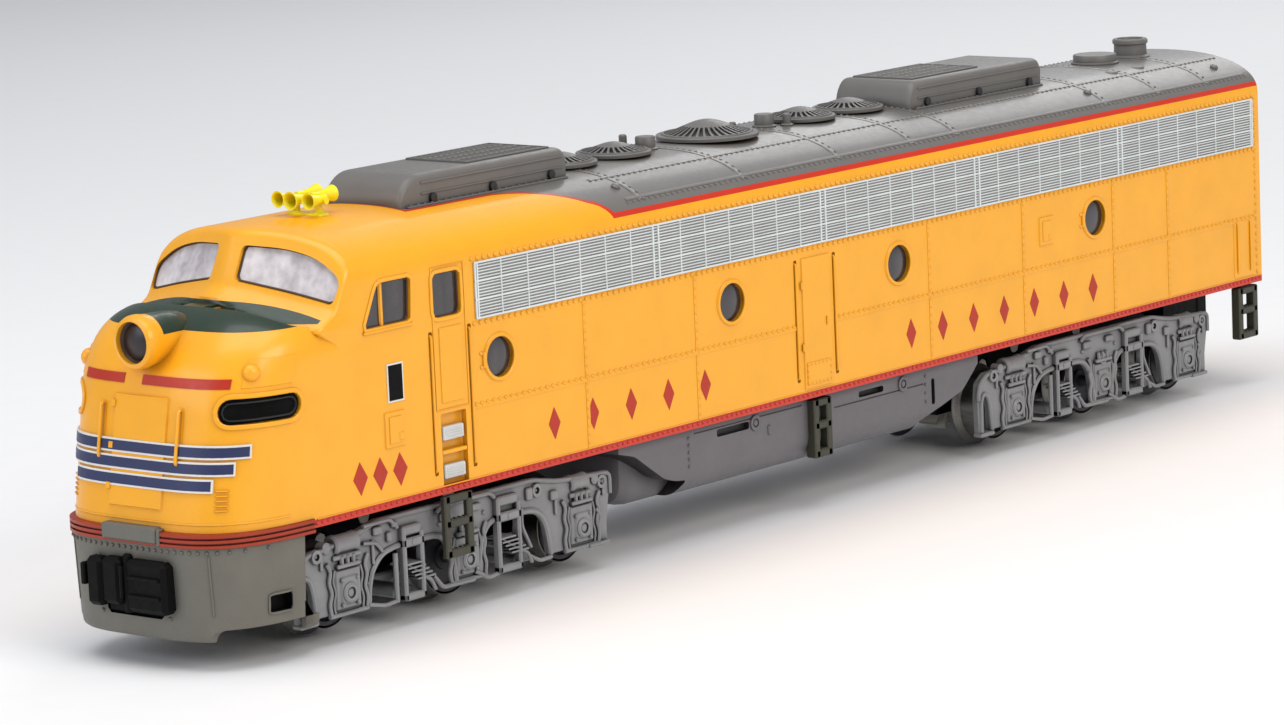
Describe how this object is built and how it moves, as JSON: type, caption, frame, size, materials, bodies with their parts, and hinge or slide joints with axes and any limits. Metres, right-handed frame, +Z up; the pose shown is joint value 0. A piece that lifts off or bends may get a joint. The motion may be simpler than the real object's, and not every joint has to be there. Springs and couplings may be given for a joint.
{
  "type": "model diesel locomotive",
  "caption": "Scale model of a streamlined cab-unit passenger diesel with swivelling six-wheel trucks, a geared motor drive line and a swinging rear coupler.",
  "frame": {"origin": "under the middle of the model's bounding box, level with the bottom of the wheel flanges", "axes": "+X across to the locomotive's left-hand side, +Y along the body towards its rear, +Z up"},
  "size_m": [0.0192, 0.137, 0.0315],
  "materials": {
    "armour_yellow": "satin, moulded and painted",
    "roof_grey": "satin paint",
    "truck_grey": "matt moulded plastic",
    "tank_grey": "matt moulded plastic",
    "underframe_olive": "matt moulded plastic",
    "black_plastic": "matt",
    "clear_plastic": "clear moulded glazing",
    "horn_yellow": "satin paint",
    "cast_chassis": "as-cast zinc alloy",
    "wheel_metal": "turned and blackened",
    "plated_steel": "plated",
    "flywheel_brass": "turned",
    "gear_nylon": "moulded nylon",
    "circuit_board": "solder-masked laminate"
  },
  "bodies": {
    "locomotive_body": {"body_shell": "armour_yellow", "windshield_glazing": "clear_plastic", "headlight_lens": "clear_plastic", "air_horn": "horn_yellow", "roof_hatch_front": "roof_grey", "roof_hatch_rear": "roof_grey", "roof_fan_1": "roof_grey", "roof_fan_2": "roof_grey", "roof_fan_3": "roof_grey", "roof_fan_4": "roof_grey", "roof_fan_5": "roof_grey", "steam_stack": "roof_grey", "pilot": "underframe_olive", "front_coupler": "black_plastic", "coupler_pocket": "black_plastic", "fuel_tank": "tank_grey", "motor_can": "plated_steel", "light_board": "circuit_board", "light_pipe": "clear_plastic", "side_glazing_left": "clear_plastic", "number_board_left": "black_plastic", "chassis_left": "cast_chassis", "front_steps_left": "underframe_olive", "middle_steps_left": "underframe_olive", "rear_steps_left": "underframe_olive", "side_glazing_right": "clear_plastic", "number_board_right": "black_plastic", "chassis_right": "cast_chassis", "front_steps_right": "underframe_olive", "middle_steps_right": "underframe_olive", "rear_steps_right": "underframe_olive", "chassis_screw_front": "plated_steel", "chassis_screw_rear": "plated_steel"},
    "drive_line": {"motor_armature": "plated_steel", "flywheel_front": "flywheel_brass", "flywheel_rear": "flywheel_brass", "worm_shaft_front": "plated_steel", "worm_shaft_rear": "plated_steel"},
    "rear_coupler": {"rear_coupler": "black_plastic"},
    "front_truck": {"front_truck_frame": "truck_grey", "front_gear_case": "black_plastic"},
    "rear_truck": {"rear_truck_frame": "truck_grey", "rear_gear_case": "black_plastic"},
    "front_worm_gear": {"front_worm_gear": "gear_nylon"},
    "front_fore_upper_idler": {"front_fore_upper_idler": "gear_nylon"},
    "front_fore_lower_idler": {"front_fore_lower_idler": "gear_nylon"},
    "front_aft_upper_idler": {"front_aft_upper_idler": "gear_nylon"},
    "front_aft_lower_idler": {"front_aft_lower_idler": "gear_nylon"},
    "rear_worm_gear": {"rear_worm_gear": "gear_nylon"},
    "rear_fore_upper_idler": {"rear_fore_upper_idler": "gear_nylon"},
    "rear_fore_lower_idler": {"rear_fore_lower_idler": "gear_nylon"},
    "rear_aft_upper_idler": {"rear_aft_upper_idler": "gear_nylon"},
    "rear_aft_lower_idler": {"rear_aft_lower_idler": "gear_nylon"},
    "front_fore_wheelset": {"front_fore_wheelset": "wheel_metal"},
    "front_middle_wheelset": {"front_middle_wheelset": "wheel_metal"},
    "front_aft_wheelset": {"front_aft_wheelset": "wheel_metal"},
    "rear_fore_wheelset": {"rear_fore_wheelset": "wheel_metal"},
    "rear_middle_wheelset": {"rear_middle_wheelset": "wheel_metal"},
    "rear_aft_wheelset": {"rear_aft_wheelset": "wheel_metal"}
  },
  "joints": [
    {"name": "drive_line_spin", "type": "hinge", "parent": "locomotive_body", "child": "drive_line", "pos_m": [0, 0.0004, 0.01215], "axis": [0, 1, 0], "continuous": true},
    {"name": "rear_coupler_swing", "type": "hinge", "parent": "locomotive_body", "child": "rear_coupler", "pos_m": [0, 0.0618, 0.00585], "axis": [0, 0, 1], "range_deg": [-12, 12]},
    {"name": "front_truck_swivel", "type": "hinge", "parent": "locomotive_body", "child": "front_truck", "pos_m": [0, -0.03955, 0.00955], "axis": [0, 0, 1], "range_deg": [-8, 8]},
    {"name": "front_worm_gear_spin", "type": "hinge", "parent": "front_truck", "child": "front_worm_gear", "pos_m": [0, -0.03955, 0.00815], "axis": [1, 0, 0], "continuous": true},
    {"name": "front_fore_upper_idler_spin", "type": "hinge", "parent": "front_truck", "child": "front_fore_upper_idler", "pos_m": [0, -0.04419, 0.00691], "axis": [1, 0, 0], "continuous": true},
    {"name": "front_fore_lower_idler_spin", "type": "hinge", "parent": "front_truck", "child": "front_fore_lower_idler", "pos_m": [0, -0.04888, 0.00592], "axis": [1, 0, 0], "continuous": true},
    {"name": "front_fore_wheelset_spin", "type": "hinge", "parent": "front_truck", "child": "front_fore_wheelset", "pos_m": [0, -0.0525, 0.00341], "axis": [1, 0, 0], "continuous": true},
    {"name": "front_aft_upper_idler_spin", "type": "hinge", "parent": "front_truck", "child": "front_aft_upper_idler", "pos_m": [0, -0.03491, 0.00691], "axis": [1, 0, 0], "continuous": true},
    {"name": "front_aft_lower_idler_spin", "type": "hinge", "parent": "front_truck", "child": "front_aft_lower_idler", "pos_m": [0, -0.03022, 0.00592], "axis": [1, 0, 0], "continuous": true},
    {"name": "front_aft_wheelset_spin", "type": "hinge", "parent": "front_truck", "child": "front_aft_wheelset", "pos_m": [0, -0.0266, 0.00341], "axis": [1, 0, 0], "continuous": true},
    {"name": "front_middle_wheelset_spin", "type": "hinge", "parent": "front_truck", "child": "front_middle_wheelset", "pos_m": [0, -0.03955, 0.00341], "axis": [1, 0, 0], "continuous": true},
    {"name": "rear_truck_swivel", "type": "hinge", "parent": "locomotive_body", "child": "rear_truck", "pos_m": [0, 0.04235, 0.00955], "axis": [0, 0, 1], "range_deg": [-8, 8]},
    {"name": "rear_worm_gear_spin", "type": "hinge", "parent": "rear_truck", "child": "rear_worm_gear", "pos_m": [0, 0.04235, 0.00815], "axis": [1, 0, 0], "continuous": true},
    {"name": "rear_fore_upper_idler_spin", "type": "hinge", "parent": "rear_truck", "child": "rear_fore_upper_idler", "pos_m": [0, 0.03771, 0.00691], "axis": [1, 0, 0], "continuous": true},
    {"name": "rear_fore_lower_idler_spin", "type": "hinge", "parent": "rear_truck", "child": "rear_fore_lower_idler", "pos_m": [0, 0.03302, 0.00592], "axis": [1, 0, 0], "continuous": true},
    {"name": "rear_fore_wheelset_spin", "type": "hinge", "parent": "rear_truck", "child": "rear_fore_wheelset", "pos_m": [0, 0.0294, 0.00341], "axis": [1, 0, 0], "continuous": true},
    {"name": "rear_aft_upper_idler_spin", "type": "hinge", "parent": "rear_truck", "child": "rear_aft_upper_idler", "pos_m": [0, 0.04699, 0.00691], "axis": [1, 0, 0], "continuous": true},
    {"name": "rear_aft_lower_idler_spin", "type": "hinge", "parent": "rear_truck", "child": "rear_aft_lower_idler", "pos_m": [0, 0.05168, 0.00592], "axis": [1, 0, 0], "continuous": true},
    {"name": "rear_aft_wheelset_spin", "type": "hinge", "parent": "rear_truck", "child": "rear_aft_wheelset", "pos_m": [0, 0.0553, 0.00341], "axis": [1, 0, 0], "continuous": true},
    {"name": "rear_middle_wheelset_spin", "type": "hinge", "parent": "rear_truck", "child": "rear_middle_wheelset", "pos_m": [0, 0.04235, 0.00341], "axis": [1, 0, 0], "continuous": true}
  ],
  "couplings": [
    {"joint": "front_worm_gear_spin", "follows": "drive_line_spin", "ratio": 0.083333},
    {"joint": "front_fore_upper_idler_spin", "follows": "drive_line_spin", "ratio": -0.083333},
    {"joint": "front_fore_lower_idler_spin", "follows": "drive_line_spin", "ratio": 0.083333},
    {"joint": "front_fore_wheelset_spin", "follows": "drive_line_spin", "ratio": -0.1},
    {"joint": "front_aft_upper_idler_spin", "follows": "drive_line_spin", "ratio": -0.083333},
    {"joint": "front_aft_lower_idler_spin", "follows": "drive_line_spin", "ratio": 0.083333},
    {"joint": "front_aft_wheelset_spin", "follows": "drive_line_spin", "ratio": -0.1},
    {"joint": "rear_worm_gear_spin", "follows": "drive_line_spin", "ratio": 0.083333},
    {"joint": "rear_fore_upper_idler_spin", "follows": "drive_line_spin", "ratio": -0.083333},
    {"joint": "rear_fore_lower_idler_spin", "follows": "drive_line_spin", "ratio": 0.083333},
    {"joint": "rear_fore_wheelset_spin", "follows": "drive_line_spin", "ratio": -0.1},
    {"joint": "rear_aft_upper_idler_spin", "follows": "drive_line_spin", "ratio": -0.083333},
    {"joint": "rear_aft_lower_idler_spin", "follows": "drive_line_spin", "ratio": 0.083333},
    {"joint": "rear_aft_wheelset_spin", "follows": "drive_line_spin", "ratio": -0.1}
  ]
}
